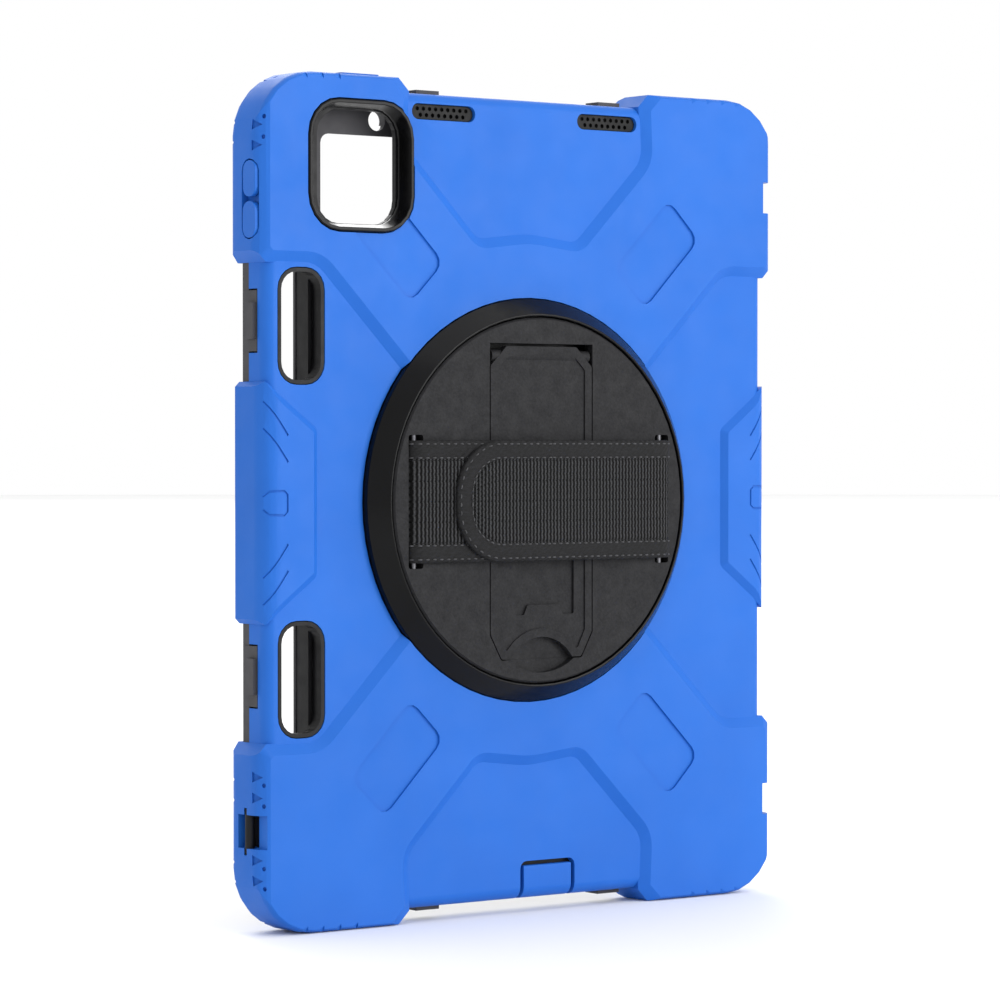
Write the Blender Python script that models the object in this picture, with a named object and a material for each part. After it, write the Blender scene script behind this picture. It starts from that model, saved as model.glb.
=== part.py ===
"""Protective case for an 11-inch tablet: silicone cover over a rigid tray and front frame,
with a turning round stand that carries a kickstand and a hand strap.
Lengths are in millimetres in a case frame (x right seen from the screen side, y depth into the
case from the screen glass, z up from the case centre) and are placed in metres by place()."""

import math

import bmesh
import bpy
from mathutils import Matrix, Vector

# ---------------------------------------------------------------- driving dimensions (mm)
MM = 0.001
Z_MID = 133.15          # case centre above the floor it stands on
Y_MID = 9.6             # middle of the overall depth

BUMP_X = 104.75         # corner bumps, half width and half height
BUMP_Z = 133.15
BUMP_R = 20.0
BUMP_FRONT = -4.4
BUMP_BACK = 13.1
BUMP_CHAMFER = 3.4      # slope from the walls to the front lips
BUMP_ROUND = 2.1        # round the top and bottom edges, so that the case stands on a flat foot
SIDE_ROUND = 6.3        # round the side edges
PAD_X = 102.85          # side pads
WALL_X = 101.1          # cover between the bumps
WALL_Z = 128.9
WALL_R = 17.0
WALL_FRONT = 1.5
PANEL_BACK = 11.1
COVER_FLOOR = 8.5
CAVITY_X = 100.0
CAVITY_Z = 126.7

FRAME_X = 100.9
FRAME_Z = 128.7
FRAME_FRONT = -2.8
FRAME_BACK = -0.6
FRAME_SKIRT = 1.2

SHELL_X = 99.7
SHELL_Z = 126.4
SHELL_R = 16.0
SHELL_FRONT = -0.2
SHELL_FLOOR = 6.4
SHELL_BACK = 8.2

CAMERA_X = 66.5
CAMERA_Z = 104.75
STYLUS_WINDOWS = (-54.6, 54.6)      # middle heights
SPEAKERS = {"right": 33.3, "left": -33.3}
SPEAKER_Z = 123.0
FLAP_X = -8.65
FLAP_HINGE_Y = 2.9
FLAP_HINGE_Z = -128.6
# name: (side, middle height, inner edge of the notch in the panel, post depth)
LUGS = {
    "lower_right": (1, -101.1, 101.9, 4.8),
    "upper_left": (-1, 101.0, 99.6, 6.0),
    "lower_left": (-1, -102.0, 99.6, 6.0),
}
SIDE_LATCHES = (56.1, -53.5)        # middle heights
EDGE_LATCHES = (34.9, -39.3)        # middle widths
VOLUME_KEYS = {"up": (99.6, 99.6), "down": (87.0, 89.6)}    # middle height of the cap, of the stem
POWER_X = 63.9

RING_OUT = 64.8
RING_IN = 62.3
PLATE_R = 58.6
PLATE_FRONT = 15.0
PLATE_BACK = 19.0
HUB_OUT = 46.0
HUB_IN = 44.0
SCREW_RADIUS = 41.5
SCREWS = 6
HINGE_Y = 17.0
HINGE_Z = 46.2
SLOT_IN = 47.2
SLOT_OUT = 52.9
BAR_X = 50.0
BAR_Y = 17.3
STRAP_HALF = 19.25
STRAP_THICK = 1.3

# ---------------------------------------------------------------- scene and materials
for old in list(bpy.data.objects):
    bpy.data.objects.remove(old, do_unlink=True)

PARTS = bpy.data.collections.new("tablet_case")
CUTTERS = bpy.data.collections.new("cutters")
bpy.context.scene.collection.children.link(PARTS)
bpy.context.scene.collection.children.link(CUTTERS)
CUTTERS.hide_render = True


def material(name, colour, roughness):
    made = bpy.data.materials.new(name)
    made.use_nodes = True
    shader = made.node_tree.nodes["Principled BSDF"]
    shader.inputs["Base Color"].default_value = (*colour, 1.0)
    shader.inputs["Roughness"].default_value = roughness
    made.diffuse_color = (*colour, 1.0)
    return made


BLUE = material("blue_silicone", (0.055, 0.225, 0.85), 0.5)
SHELL = material("black_plastic", (0.012, 0.012, 0.013), 0.45)
FRAME = material("dark_grey_plastic", (0.085, 0.085, 0.095), 0.5)
GLOSS = material("gloss_black_plastic", (0.008, 0.008, 0.009), 0.15)
DISC = material("matt_black_plastic", (0.03, 0.03, 0.034), 0.6)
METAL = material("steel", (0.5, 0.5, 0.52), 0.3)
WEAVE = material("black_elastic", (0.02, 0.02, 0.023), 0.9)
SLIP = material("white_acetal", (0.8, 0.8, 0.78), 0.5)


# ---------------------------------------------------------------- shape helpers
# For each extrusion axis: the row directions of the outline's two coordinates, then the axis.
AXES = {
    "x": ((0, 1, 0), (0, 0, 1), (1, 0, 0)),
    "y": ((1, 0, 0), (0, 0, 1), (0, 1, 0)),
    "z": ((1, 0, 0), (0, 1, 0), (0, 0, 1)),
}


def place(x, y, z):
    return Vector((x * MM, (y - Y_MID) * MM, (z + Z_MID) * MM))


def outline(corners, steps=5):
    """Closed outline from (x, z, radius) corners; a corner with radius 0 stays sharp."""
    points = []
    count = len(corners)
    for i in range(count):
        x, z, radius = corners[i]
        here = Vector((x, z))
        if radius == 0:
            points.append((x, z))
            continue
        before = (Vector(corners[i - 1][:2]) - here).normalized()
        after = (Vector(corners[(i + 1) % count][:2]) - here).normalized()
        half = math.acos(max(-1.0, min(1.0, before.dot(after)))) / 2
        centre = here + (before + after).normalized() * (radius / math.sin(half))
        start = here + before * (radius / math.tan(half)) - centre
        turn = math.pi - 2 * half
        if before.x * after.y - before.y * after.x > 0:
            turn = -turn
        for k in range(steps + 1):
            angle = turn * k / steps
            across = start.x * math.cos(angle) - start.y * math.sin(angle)
            along = start.x * math.sin(angle) + start.y * math.cos(angle)
            points.append((centre.x + across, centre.y + along))
    return points


def rectangle(x0, x1, z0, z1, radius, steps=5):
    corners = ((x0, z0), (x1, z0), (x1, z1), (x0, z1))
    return outline([(x, z, radius) for x, z in corners], steps)


def circle(x, z, radius, steps):
    turns = [2 * math.pi * k / steps for k in range(steps)]
    return [(x + radius * math.cos(t), z + radius * math.sin(t)) for t in turns]


def finish(name, bm, look=None, smooth=False):
    bmesh.ops.recalc_face_normals(bm, faces=bm.faces)
    mesh = bpy.data.meshes.new(name)
    bm.to_mesh(mesh)
    bm.free()
    obj = bpy.data.objects.new(name, mesh)
    if look is None:
        CUTTERS.objects.link(obj)
        obj.hide_render = True
        obj.display_type = "WIRE"
    else:
        PARTS.objects.link(obj)
        mesh.materials.append(look)
    if smooth:
        mesh.shade_smooth()
        mesh.set_sharp_from_angle(angle=math.radians(35))
    return obj


def edit(obj, work):
    bm = bmesh.new()
    bm.from_mesh(obj.data)
    work(bm)
    bm.to_mesh(obj.data)
    bm.free()


def prism(name, points, low, high, look=None, axis="y"):
    """Flat outline extruded from low to high along one axis; AXES says which way it lies."""
    curve = bpy.data.curves.new(name, "CURVE")
    curve.dimensions = "2D"
    curve.fill_mode = "BOTH"
    curve.extrude = (high - low) / 2 * MM
    spline = curve.splines.new("POLY")
    spline.points.add(len(points) - 1)
    for point, (across, along) in zip(spline.points, points):
        point.co = (across * MM, along * MM, 0, 1)
    spline.use_cyclic_u = True
    holder = bpy.data.objects.new(name + "_curve", curve)
    CUTTERS.objects.link(holder)
    bm = bmesh.new()
    bm.from_mesh(bpy.data.meshes.new_from_object(holder))
    bpy.data.objects.remove(holder, do_unlink=True)
    turn = Matrix(AXES[axis]).transposed().to_4x4()
    normal = Vector(AXES[axis][2])
    middle = place(0, 0, 0) + normal * (low + high) / 2 * MM
    bm.transform(Matrix.Translation(middle) @ turn)
    bmesh.ops.remove_doubles(bm, verts=bm.verts, dist=1e-6)
    for reach in (low, high):
        level = place(0, 0, 0).dot(normal) + reach * MM
        cap = [f for f in bm.faces if all(abs(v.co.dot(normal) - level) < 1e-6 for v in f.verts)]
        bmesh.ops.dissolve_faces(bm, faces=cap)
    return finish(name, bm, look)


def loft(name, loops, look=None):
    """Outlines with the same number of points, each at its own depth, joined by faces."""
    bm = bmesh.new()
    rings = [[bm.verts.new(place(x, y, z)) for x, z in points] for points, y in loops]
    count = len(rings[0])
    for low, high in zip(rings, rings[1:]):
        for i in range(count):
            j = (i + 1) % count
            bm.faces.new((low[i], low[j], high[j], high[i]))
    bm.faces.new(rings[0])
    bm.faces.new(rings[-1])
    return finish(name, bm, look)


def lathe(name, profile, x, z, steps, look=None, smooth=True):
    """Closed (radius, depth) profile turned about the depth axis through x, z."""
    bm = bmesh.new()
    line = [bm.verts.new(place(x + radius, y, z)) for radius, y in profile]
    edges = [bm.edges.new((line[i - 1], line[i])) for i in range(len(line))]
    bmesh.ops.spin(
        bm, geom=line + edges, cent=place(x, 0, z), axis=(0, 1, 0), angle=2 * math.pi, steps=steps
    )
    bmesh.ops.remove_doubles(bm, verts=bm.verts, dist=1e-6)
    axis_edges = [e for e in bm.edges if not e.link_faces]
    bmesh.ops.delete(bm, geom=axis_edges, context="EDGES")
    return finish(name, bm, look, smooth)


def rod(name, start, end, radius, steps, look=None):
    a = place(*start)
    b = place(*end)
    turn = (b - a).to_track_quat("Z", "Y").to_matrix().to_4x4()
    bm = bmesh.new()
    bmesh.ops.create_cone(
        bm, cap_ends=True, segments=steps, radius1=radius * MM, radius2=radius * MM,
        depth=(b - a).length, matrix=Matrix.Translation((a + b) / 2) @ turn,
    )
    return finish(name, bm, look, look is not None)


def drill(name, centres, low, high, radius, steps):
    """One cutter of several parallel rods along the depth axis."""
    turn = Matrix.Rotation(math.pi / 2, 4, "X")
    bm = bmesh.new()
    for x, z in centres:
        bmesh.ops.create_cone(
            bm, cap_ends=True, segments=steps, radius1=radius * MM, radius2=radius * MM,
            depth=(high - low) * MM, matrix=Matrix.Translation(place(x, (low + high) / 2, z)) @ turn,
        )
    return finish(name, bm)


def box(name, x0, x1, y0, y1, z0, z1, look=None):
    low = place(x0, y0, z0)
    high = place(x1, y1, z1)
    bm = bmesh.new()
    stretch = Matrix.Diagonal((*(high - low), 1))
    bmesh.ops.create_cube(bm, size=1, matrix=Matrix.Translation((low + high) / 2) @ stretch)
    return finish(name, bm, look)


def bevel_rim(obj, y, width, segments):
    """Rounds or chamfers the edges that lie at depth y."""
    level = (y - Y_MID) * MM

    def work(bm):
        def on_rim(edge):
            flat = all(abs(v.co.y - level) < 1e-6 for v in edge.verts)
            return flat and len(edge.link_faces) == 2 and edge.calc_face_angle() > 0.5

        rim = [e for e in bm.edges if on_rim(e)]
        bmesh.ops.bevel(
            bm, geom=rim, offset=width * MM, offset_type="OFFSET", segments=segments,
            profile=0.5, affect="EDGES", clamp_overlap=False,
        )

    edit(obj, work)


def inset_cap(obj, y, step):
    """Insets the cap at depth y by a width and raises what it leaves by a height."""
    level = (y - Y_MID) * MM
    width, height = step

    def work(bm):
        bm.faces.ensure_lookup_table()
        cap = [f for f in bm.faces if all(abs(v.co.y - level) < 1e-6 for v in f.verts)]
        bmesh.ops.inset_region(
            bm, faces=cap, thickness=width * MM, depth=height * MM, use_boundary=True, use_even_offset=True
        )
        for vert in {v for f in cap for v in f.verts}:
            vert.co.y = level + height * MM

    edit(obj, work)


def boolean(target, others, operation):
    for other in others:
        change = target.modifiers.new(operation.lower() + "_" + other.name, "BOOLEAN")
        change.operation = operation
        change.object = other
        change.solver = "EXACT"


def cut(target, *others):
    boolean(target, others, "DIFFERENCE")


def add(target, *others):
    boolean(target, others, "UNION")


def set_origin(obj, x, y, z):
    """Puts the object's origin on the joint axis that it moves about."""
    point = place(x, y, z)
    obj.data.transform(Matrix.Translation(-point))
    obj.location = point


def mirrored(points):
    return [(-x, z) for x, z in reversed(points)]


# ---------------------------------------------------------------- silicone cover
def quarter_contour():
    """Edge of one raised arm, from the top edge inwards, as (x, z, corner radius)."""
    return [(58.0, 140.3, 0), (50.9, 133.2, 0), (46.8, 129.1, 0), (47.6, 111.6, 9.0), (19.8, 83.8, 5.0)]


def side_contour():
    """Edge of one raised arm, from inside the stand ring out to the side wall."""
    return [(45.6, 36.8, 0), (82.8, 74.0, 10.0), (101.2, 74.0, 0), (105.0, 77.8, 0), (110.0, 82.8, 0)]


def raised_outline():
    top = quarter_contour()
    side = side_contour()
    corners = []
    corners += [(x, z, r) for x, z, r in side] + [(110.0, 140.3, 0)] + [(x, z, r) for x, z, r in top]
    corners += [(0.0, 86.1, 40.0)]
    corners += [(-x, z, r) for x, z, r in reversed(top)] + [(-110.0, 140.3, 0)]
    corners += [(-x, z, r) for x, z, r in reversed(side)]
    corners += [(-x, -z, r) for x, z, r in side] + [(-110.0, -140.3, 0)]
    corners += [(-x, -z, r) for x, z, r in top]
    corners += [(0.0, -86.1, 40.0)]
    corners += [(x, -z, r) for x, z, r in reversed(top)] + [(110.0, -140.3, 0)]
    corners += [(x, -z, r) for x, z, r in reversed(side)]
    return outline(corners, 4)


def rounded_section(half_width, top):
    """Section of the case, wider than its height, whose two back edges are rounded."""
    low = BUMP_FRONT - 4.6
    back = [(half_width, top, SIDE_ROUND), (-half_width, top, SIDE_ROUND)]
    return outline([(-half_width, low, 0), (half_width, low, 0)] + back, 5)


def make_cover():
    cover = prism(
        "silicone_cover", rectangle(-WALL_X, WALL_X, -WALL_Z, WALL_Z, WALL_R, 6), WALL_FRONT, PANEL_BACK, BLUE
    )
    bevel_rim(cover, PANEL_BACK, 4.0, 4)

    raised = prism("raised_body", raised_outline(), BUMP_FRONT - 1, BUMP_BACK - 2.2)
    inset_cap(raised, BUMP_BACK - 2.2, (3.5, 2.2))
    for sx in (-1, 1):
        for sz in (-1, 1):
            turned = []
            for u, v in rectangle(-16.5, 16.5, -9.25, 9.25, 4.0, 3):
                turned.append((sx * (52.9 + (u - v) * 0.70711), sz * (80.6 + (u + v) * 0.70711)))
            if sx * sz < 0:
                turned.reverse()
            cut(raised, prism(f"arm_pocket_{sx}_{sz}", turned, BUMP_BACK - 0.8, 15.5))
    envelope = prism(
        "bump_envelope", rectangle(-BUMP_X, BUMP_X, -BUMP_Z, BUMP_Z, BUMP_R, 6), BUMP_FRONT, BUMP_BACK + 0.6
    )
    bevel_rim(envelope, BUMP_BACK + 0.6, BUMP_ROUND + 0.6, 4)
    bevel_rim(envelope, BUMP_FRONT, BUMP_CHAMFER, 2)
    sides = rounded_section(BUMP_X, BUMP_BACK + 0.6)
    boolean(raised, [envelope, prism("side_rounding", sides, -150.0, 150.0, axis="z")], "INTERSECT")

    pads = []
    for side in (-1, 1):
        shape = [(82.0, 23.0, 3), (PAD_X - 1.55, 37.4, 0), (PAD_X + 0.05, 35.8, 0)]
        shape += [(x, -z, radius) for x, z, radius in reversed(shape)]
        points = outline(shape, 3)
        points = points if side > 0 else mirrored(points)
        pad = prism(f"side_pad_{side}", points, BUMP_FRONT + 0.1, PANEL_BACK - 0.2)
        inset_cap(pad, PANEL_BACK - 0.2, (2.6, 1.9))
        bevel_rim(pad, BUMP_FRONT + 0.1, 0.7, 1)
        sides = rounded_section(PAD_X, BUMP_BACK - 0.35)
        boolean(pad, [prism(f"pad_rounding_{side}", sides, -60.0, 60.0, axis="z")], "INTERSECT")
        pads.append(pad)
    add(cover, raised, *pads)

    cavity = rectangle(-CAVITY_X, CAVITY_X, -CAVITY_Z, CAVITY_Z, 16.3, 6)
    window = rectangle(CAMERA_X - 20.4, CAMERA_X + 20.4, CAMERA_Z - 20.85, CAMERA_Z + 20.85, 11.8)
    tools = [
        prism("cover_cavity", cavity, -0.5, COVER_FLOOR),
        prism("frame_clearance", rectangle(-101.2, 101.2, -129.2, 129.2, 17.3, 6), -3.1, 1.42),
        prism("lip_opening", rectangle(-99.05, 95.15, -122.95, 124.05, 13.0, 6), -7.0, -2.9),
        prism("lip_opening_pads", rectangle(-100.85, 98.3, -44.0, 44.0, 0), -7.2, -2.8),
        lathe("stand_hole", [(0, 7.0), (65.1, 7.0), (65.1, 15.0), (0, 15.0)], 0, 0, 64),
        prism("camera_opening", window, 7.5, 15.0),
        prism("flap_opening", rectangle(FLAP_X - 11.2, FLAP_X + 11.2, -140.0, -116.6, 2.4, 3), 2.0, 14.0),
        box("power_recess", POWER_X - 7.9, POWER_X + 7.9, 1.9, 9.1, 131.2, 136.0),
        box("power_stem_hole", POWER_X - 4.4, POWER_X + 4.4, 2.2, 5.6, 124.0, 132.0),
    ]
    for x in (-68.35, 51.05):
        tools.append(rod(f"lip_notch_{x}", (x, -7.1, 120.35), (x, -3.0, 120.35), 5.9, 20))
    for z in STYLUS_WINDOWS:
        tools.append(prism(f"stylus_opening_{z}", rectangle(79.2, 97.0, z - 18.2, z + 18.2, 7.0), 7.6, 13.0))
    for name, x in SPEAKERS.items():
        pill = rectangle(x - 12.5, x + 12.5, SPEAKER_Z - 2.55, SPEAKER_Z + 2.55, 2.5)
        tools.append(prism(f"speaker_opening_{name}", pill, 7.7, 14.0))
    for name, (side, z, inner, depth) in LUGS.items():
        ends = sorted((side * inner, side * 108.0))
        deep = sorted((side * 99.5, side * 107.0))
        tools.append(box(f"lug_notch_{name}", *ends, 0.8, 16.0, z - 5.2, z + 5.2))
        tools.append(box(f"lug_depth_{name}", *deep, 1.0, 8.2, z - 5.0, z + 5.0))
        low = (side * 103.1, depth, z - 7.3)
        high = (side * 103.1, depth, z + 7.3)
        tools.append(rod(f"lug_bore_{name}", low, high, 1.8, 20))
    for z in SIDE_LATCHES:
        for side in (-1, 1):
            ends = sorted((side * 99.3, side * 108.5))
            tools.append(box(f"side_latch_notch_{side}_{z}", *ends, 1.1, 6.2, z - 9.9, z + 9.9))
    for x in EDGE_LATCHES:
        for side in (-1, 1):
            ends = sorted((side * 126.0, side * 137.0))
            tools.append(box(f"edge_latch_notch_{side}_{x}", x - 4.9, x + 4.9, 1.2, 5.0, *ends))
    tools.append(prism("volume_recess", rectangle(3.1, 10.9, 80.9, 105.7, 3.8, 3), 102.3, 106.0, axis="x"))
    for name, (_, z) in VOLUME_KEYS.items():
        tools.append(box(f"volume_stem_hole_{name}", 98.0, 104.0, 3.6, 6.4, z - 2.3, z + 2.3))
    cut(cover, *tools)
    return cover


# ---------------------------------------------------------------- rigid back shell
def make_shell():
    walls = rectangle(-SHELL_X, SHELL_X, -SHELL_Z, SHELL_Z, SHELL_R, 6)
    shell = prism("back_shell", walls, SHELL_FRONT, SHELL_BACK, SHELL)
    floor_hole = lathe("floor_hole", [(0, 3.0), (58.2, 3.0), (58.2, 15.0), (0, 15.0)], 0, 0, 64)
    profile = [
        (46.3, 9.2), (54.5, 9.2), (54.5, 6.6), (62.0, 6.6),
        (62.0, 12.7), (59.2, 12.7), (59.2, 11.2), (46.3, 11.2),
    ]
    pedestal = lathe("pedestal", profile, 0, 0, 64)
    collars = []
    for z in STYLUS_WINDOWS:
        collars.append(prism(f"window_collar_{z}", rectangle(79.5, 96.7, z - 17.9, z + 17.9, 6.7), 7.7, 11.0))
    add(shell, *collars)
    upper_gap = [(82.4, 87.2, 0), (98.2, 87.2, 0), (98.2, 124.9, 14.4), (82.4, 124.9, 0)]
    lower_gap = [(82.4, -91.0, 0), (82.4, -124.9, 0), (98.2, -124.9, 14.4), (98.2, -91.0, 0)]
    tools = [
        prism("tablet_pocket", rectangle(-98.2, 80.9, -124.9, 123.4, 14.0), -3.0, SHELL_FLOOR),
        prism("stylus_channel", rectangle(82.1, 92.6, -89.0, 85.4, 5.2, 4), -3.1, 7.4),
        prism("wall_gap", rectangle(94.1, 98.2, -88.0, 82.5, 0), -3.2, 6.3),
        prism("upper_gap", outline(upper_gap), -3.3, 6.2),
        prism("lower_gap", outline(lower_gap), -3.4, 6.2),
        floor_hole,
        prism("camera_window", rectangle(CAMERA_X - 16.4, 80.2, CAMERA_Z - 17.9, 122.4, 8.0), 5.5, 9.5),
        box("port_opening", FLAP_X - 7.0, FLAP_X + 7.0, 0.6, 5.6, -129.0, -123.0),
        box("power_stem_way", POWER_X - 4.4, POWER_X + 4.4, 2.2, 5.6, 122.0, 128.0),
    ]
    for z in STYLUS_WINDOWS:
        tools.append(prism(f"stylus_window_{z}", rectangle(80.7, 95.5, z - 16.7, z + 16.7, 5.5), 6.0, 12.5))
    for name, x in SPEAKERS.items():
        slot = rectangle(x - 11.5, x + 11.5, 121.3, 124.6, 1.6, 3)
        tools.append(prism(f"speaker_window_{name}", slot, 5.8, 9.8))
    for name, (_, z) in VOLUME_KEYS.items():
        tools.append(box(f"volume_stem_way_{name}", 79.0, 101.0, 3.6, 6.4, z - 2.3, z + 2.3))
    cut(shell, *tools)
    add(shell, pedestal)
    return shell


# ---------------------------------------------------------------- front frame
def screen_outline(grow_x0, grow_x1, z0, z1, notch):
    """Screen opening with a notch for camera and sensors in its top edge."""
    half_low, half_high, top = notch
    middle = -9.15
    corners = [
        (grow_x0, z0, 3.0),
        (grow_x1, z0, 3.0),
        (grow_x1, z1, 3.0),
        (middle + half_low, z1, 2.5),
        (middle + half_high, top, 2.0),
        (middle - half_high, top, 2.0),
        (middle - half_low, z1, 2.5),
        (grow_x0, z1, 3.0),
    ]
    return outline(corners, 4)


def make_frame():
    edge = rectangle(-FRAME_X, FRAME_X, -FRAME_Z, FRAME_Z, WALL_R, 6)
    frame = prism("front_frame", edge, FRAME_FRONT, FRAME_SKIRT, FRAME)
    bevel_rim(frame, FRAME_FRONT, 0.6, 1)
    hollow = prism("frame_hollow", rectangle(-100.0, 100.0, -126.8, 126.8, 16.3, 6), FRAME_BACK, 3.0)
    cut(frame, hollow)
    extras = []
    for z in SIDE_LATCHES:
        for side in (-1, 1):
            arm = sorted((side * 100.05, side * 101.15))
            grip = sorted((side * 100.5, side * 102.5))
            extras.append(box(f"latch_arm_{side}_{z}", *arm, -1.3, 5.9, z - 9.4, z + 9.4))
            extras.append(box(f"latch_grip_{side}_{z}", *grip, 1.5, 5.6, z - 5.6, z + 5.6))
    for x in EDGE_LATCHES:
        for side in (-1, 1):
            tab = sorted((side * 127.1, side * 130.4))
            extras.append(box(f"edge_tab_{side}_{x}", x - 4.5, x + 4.5, -1.9, 4.6, *tab))
    for x in (-68.35, 51.05):
        extras.append(rod(f"sound_boss_{x}", (x, -3.7, 120.35), (x, -1.5, 120.35), 5.5, 24))
    add(frame, *extras)
    front = screen_outline(-93.85, 76.55, -118.95, 119.05, (21.6, 16.6, 124.7))
    back = screen_outline(-90.05, 72.75, -116.0, 115.4, (18.6, 14.0, 121.6))
    slot_front = rectangle(81.4, 93.3, -88.25, 84.65, 5.9, 5)
    slot_back = rectangle(82.4, 92.3, -87.25, 83.65, 4.9, 5)
    face = FRAME_FRONT + 0.1
    tools = [
        loft("screen_opening", [(front, -4.6), (front, face), (back, -0.75), (back, 0.5)]),
        loft("stylus_slot", [(slot_front, -4.6), (slot_front, face), (slot_back, -1.7), (slot_back, 0.5)]),
    ]
    for x in (-68.35, 51.05):
        tools.append(rod(f"sound_hole_{x}", (x, -5.0, 120.35), (x, 0.6, 120.35), 3.25, 24))
    cut(frame, *tools)
    return frame


# ---------------------------------------------------------------- small fixed pieces
def make_bezel():
    def rim(half_x, half_z, radius):
        return rectangle(CAMERA_X - half_x, CAMERA_X + half_x, CAMERA_Z - half_z, CAMERA_Z + half_z, radius)

    bezel = prism("camera_bezel", rim(20.1, 20.55, 11.5), COVER_FLOOR, 13.5, GLOSS)
    bevel_rim(bezel, 13.5, 0.5, 2)
    wide = rim(18.8, 19.25, 10.2)
    narrow = rim(16.9, 18.15, 9.0)
    funnel = loft("bezel_funnel", [(wide, 15.0), (wide, 13.5), (narrow, 9.9), (narrow, 7.5)])
    cut(bezel, funnel)
    return bezel


def make_speaker_mesh(name, x):
    pill = rectangle(x - 12.2, x + 12.2, SPEAKER_Z - 2.25, SPEAKER_Z + 2.25, 2.2)
    mesh = prism(f"speaker_mesh_{name}", pill, 9.0, 10.0, SHELL)
    centres = [(x + (k - 4.0) * 2.4, SPEAKER_Z + 1.0) for k in range(9)]
    centres += [(x + (k - 3.5) * 2.4, SPEAKER_Z - 1.0) for k in range(8)]
    cut(mesh, drill(f"mesh_holes_{name}", centres, 8.0, 11.0, 0.75, 6))
    return mesh


def make_flap():
    """Port cover: a back leaf and a bottom leaf round the case's lower edge."""
    side = [
        (2.4, -126.95, 0.4), (8.85, -126.95, 0.6), (8.85, -118.1, 0.3),
        (11.1, -118.1, 0.6), (11.1, -128.9, 4.0), (2.4, -128.9, 0.6),
    ]
    flap = prism("port_flap", outline(side, 4), FLAP_X - 9.75, FLAP_X + 9.75, BLUE, axis="x")
    set_origin(flap, FLAP_X, FLAP_HINGE_Y, FLAP_HINGE_Z)


def make_keys():
    cap = rectangle(POWER_X - 7.5, POWER_X + 7.5, 2.3, 8.7, 1.2, 3)
    power = prism("power_button", cap, 131.9, 133.85, BLUE, axis="z")
    add(power, box("power_stem", POWER_X - 4.0, POWER_X + 4.0, 2.6, 5.2, 124.2, 132.4))
    for name, (z, stem_z) in VOLUME_KEYS.items():
        cap = rectangle(3.6, 10.4, z - 5.6, z + 5.6, 3.0, 4)
        key = prism(f"volume_{name}_button", cap, 103.0, BUMP_X, BLUE, axis="x")
        add(key, box(f"volume_stem_{name}", 81.4, 103.9, 3.9, 6.1, stem_z - 2.0, stem_z + 2.0))


def make_lug_posts():
    for name, (side, z, _, y) in LUGS.items():
        rod(f"lug_post_{name}", (side * 103.1, y, z - 7.0), (side * 103.1, y, z + 7.0), 1.5, 20, SHELL)


# ---------------------------------------------------------------- turning stand
SCREW_CENTRES = circle(0, 0, SCREW_RADIUS, SCREWS)


def make_ring():
    profile = [
        (RING_IN, 8.5), (RING_OUT, 8.5), (RING_OUT, 13.3), (59.9, 18.8),
        (59.4, 19.0), (59.0, 18.6), (59.0, 16.4), (RING_IN, 12.6),
    ]
    return lathe("stand_ring", profile, 0, 0, 72, GLOSS)


def leg_outline(grow):
    """Kickstand outline; the lower edge of the leg itself is hollowed for a finger."""
    corners = [
        (20.6 + grow, 43.0 + grow * 0.4, 1.2),
        (14.2 + grow * 0.4, 49.3 + grow, 1.2),
        (-14.2 - grow * 0.4, 49.3 + grow, 1.2),
        (-20.6 - grow, 43.0 + grow * 0.4, 1.2),
        (-20.6 - grow, -42.6 - grow * 0.3, 1.2),
        (-16.2 - grow * 0.5, -50.6 - grow, 1.2),
    ]
    if grow <= 0:
        radius = 15.1 - grow
        reach = math.sqrt(radius ** 2 - (8.35 - grow) ** 2)
        for k in range(11):
            across = reach * (k / 5 - 1)
            corners.append((across, -58.9 + math.sqrt(radius ** 2 - across ** 2), 0))
    corners += [
        (16.2 + grow * 0.5, -50.6 - grow, 1.2),
        (20.6 + grow, -42.6 - grow * 0.3, 1.2),
    ]
    return outline(corners, 3)


def make_turntable():
    profile = [
        (0, PLATE_BACK), (58.0, PLATE_BACK), (PLATE_R, 18.4), (PLATE_R, 11.5),
        (56.6, 11.5), (56.6, PLATE_FRONT), (HUB_OUT, PLATE_FRONT), (HUB_OUT, 8.3),
        (HUB_IN, 8.3), (HUB_IN, PLATE_FRONT), (0, PLATE_FRONT),
    ]
    table = lathe("turntable", profile, 0, 0, 72, DISC)
    add(table, drill("screw_bosses", SCREW_CENTRES, 8.3, 15.8, 3.2, 16))
    tools = [
        prism("leg_recess", leg_outline(0.4), 16.4, 21.0),
        box("hinge_window", -20.9, 20.9, 13.0, 21.5, 43.3, 50.2),
        rod("hinge_bore", (-23.4, HINGE_Y, HINGE_Z), (23.4, HINGE_Y, HINGE_Z), 1.15, 16),
    ]
    moon = [(-13.2, -50.0), (-13.2, -51.0)]
    for k in range(1, 10):
        across = -13.2 + 26.4 * k / 10
        moon.append((across, -51.0 + 18.25 - math.sqrt(22.55 ** 2 - across ** 2)))
    moon += [(13.2, -51.0), (13.2, -50.0)]
    tools.append(prism("finger_pocket", moon, 16.6, 21.2))
    for side in (-1, 1):
        ends = sorted((side * SLOT_IN, side * SLOT_OUT))
        tools.append(prism(f"strap_slot_{side}", rectangle(*ends, -21.0, 21.0, 0.8, 3), 10.0, 22.0))
        x = side * BAR_X
        tools.append(rod(f"bar_bore_{side}", (x, BAR_Y, -22.6), (x, BAR_Y, 22.6), 1.25, 16))
    tools.append(drill("screw_bores", SCREW_CENTRES, 7.0, 13.2, 1.35, 12))
    cut(table, *tools)
    set_origin(table, 0, PLATE_BACK, 0)
    return table


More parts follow.
